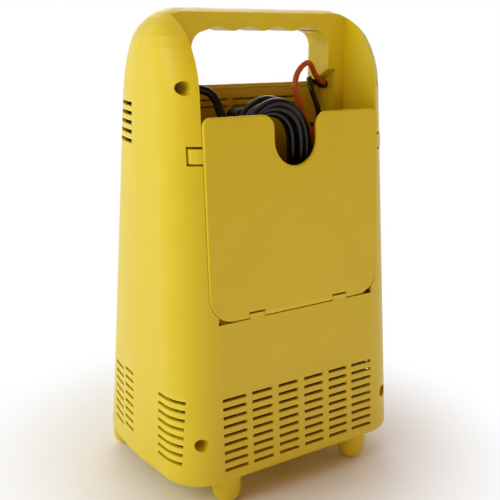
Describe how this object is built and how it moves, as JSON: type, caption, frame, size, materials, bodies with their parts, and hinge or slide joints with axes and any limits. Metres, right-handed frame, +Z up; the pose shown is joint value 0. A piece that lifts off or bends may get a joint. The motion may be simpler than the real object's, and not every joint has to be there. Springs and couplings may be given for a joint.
{
  "type": "car battery charger",
  "caption": "Upright portable car battery charger with a moulded carry handle, a rear cord compartment with a hinged door, a control panel, a mains cord and clamp leads.",
  "frame": {"origin": "centre of the footprint of the case, on the surface the feet stand on", "axes": "+Z up; +Y towards the rear, where the cord compartment's door is; -Y towards the control panel; X across the width"},
  "size_m": [0.2034, 0.1673, 0.35],
  "materials": {
    "housing": "satin moulded plastic, bright yellow",
    "panel": "fine-grained moulded plastic, black",
    "button": "satin moulded plastic, grey",
    "start": "satin moulded plastic, yellow",
    "window": "clear smoked window",
    "lens": "clear tinted plastic",
    "component": "smooth black plastic",
    "relay": "smooth blue plastic",
    "board": "green board laminate",
    "steel": "zinc plated steel",
    "core": "varnished steel laminations",
    "winding": "enamelled wire",
    "aluminium": "plain aluminium",
    "cord": "glossy black cord sheath",
    "red_cord": "glossy red cord sheath",
    "red_grip": "moulded red plastic",
    "black_grip": "moulded black plastic",
    "jaw": "copper plated steel",
    "brass": "bright brass"
  },
  "bodies": {
    "charger": {"base_plate": "steel", "base_screws": "steel", "black_clamp_lower": "black_grip", "black_clamp_lower_jaw": "jaw", "black_clamp_pin": "steel", "black_clamp_spring": "steel", "black_hank": "cord", "black_lead": "cord", "black_lead_tail": "cord", "board_screws": "steel", "board_standoffs": "steel", "button_switches": "component", "capacitors": "component", "control_panel": "panel", "display_module": "component", "display_window": "window", "fan_frame": "component", "fan_screws": "steel", "front_housing": "housing", "fuse": "steel", "fuse_holder": "component", "heat_sink": "aluminium", "housing_screws": "steel", "indicator_leds": "lens", "indicator_lenses": "lens", "lead_grommet": "cord", "main_circuit_board": "board", "mains_coil": "cord", "mains_cord": "cord", "mains_cord_tail": "cord", "mains_plug_body": "cord", "mains_plug_pins": "brass", "mains_strain_relief": "cord", "panel_circuit_board": "board", "panel_screws": "steel", "rear_housing": "housing", "rectifiers": "component", "red_clamp_lower": "red_grip", "red_clamp_lower_jaw": "jaw", "red_clamp_pin": "steel", "red_clamp_spring": "steel", "red_hank": "red_cord", "red_lead": "red_cord", "red_lead_tail": "red_cord", "relay": "relay", "transformer_core": "core", "transformer_screws": "steel", "transformer_winding": "winding"},
    "door": {"storage_door": "housing", "door_hinge_pins": "steel"},
    "fan": {"fan_rotor": "component"},
    "red_clamp_arm": {"red_clamp_upper": "red_grip", "red_clamp_upper_jaw": "jaw"},
    "black_clamp_arm": {"black_clamp_upper": "black_grip", "black_clamp_upper_jaw": "jaw"},
    "power_button": {"power_button": "button"},
    "mode_button": {"mode_button": "button"},
    "rate_button": {"rate_button": "button"},
    "start_button": {"start_button": "start"}
  },
  "joints": [
    {"name": "door_hinge", "type": "hinge", "parent": "charger", "child": "door", "pos_m": [0, 0.0741, 0.1403], "axis": [-1, 0, 0], "range_deg": [0, 95]},
    {"name": "fan_spin", "type": "hinge", "parent": "charger", "child": "fan", "pos_m": [-0.035, 0.0615, 0.057], "axis": [0, 1, 0], "continuous": true},
    {"name": "power_button_press", "type": "slide", "parent": "charger", "child": "power_button", "axis": [0, 0.9946, -0.1034], "range_m": [0, 0.0015], "stiffness_N_per_m": 400},
    {"name": "mode_button_press", "type": "slide", "parent": "charger", "child": "mode_button", "axis": [0, 0.9946, -0.1034], "range_m": [0, 0.0015], "stiffness_N_per_m": 400},
    {"name": "rate_button_press", "type": "slide", "parent": "charger", "child": "rate_button", "axis": [0, 0.9946, -0.1034], "range_m": [0, 0.0015], "stiffness_N_per_m": 400},
    {"name": "start_button_press", "type": "slide", "parent": "charger", "child": "start_button", "axis": [0, 0.9946, -0.1034], "range_m": [0, 0.0015], "stiffness_N_per_m": 400},
    {"name": "red_clamp_squeeze", "type": "hinge", "parent": "charger", "child": "red_clamp_arm", "pos_m": [0.002, 0.05, 0.1545], "axis": [0, -1, 0], "range_deg": [0, 18], "stiffness_Nm_per_rad": 1.5},
    {"name": "black_clamp_squeeze", "type": "hinge", "parent": "charger", "child": "black_clamp_arm", "pos_m": [0.002, 0.02, 0.1545], "axis": [0, -1, 0], "range_deg": [0, 18], "stiffness_Nm_per_rad": 1.5}
  ]
}
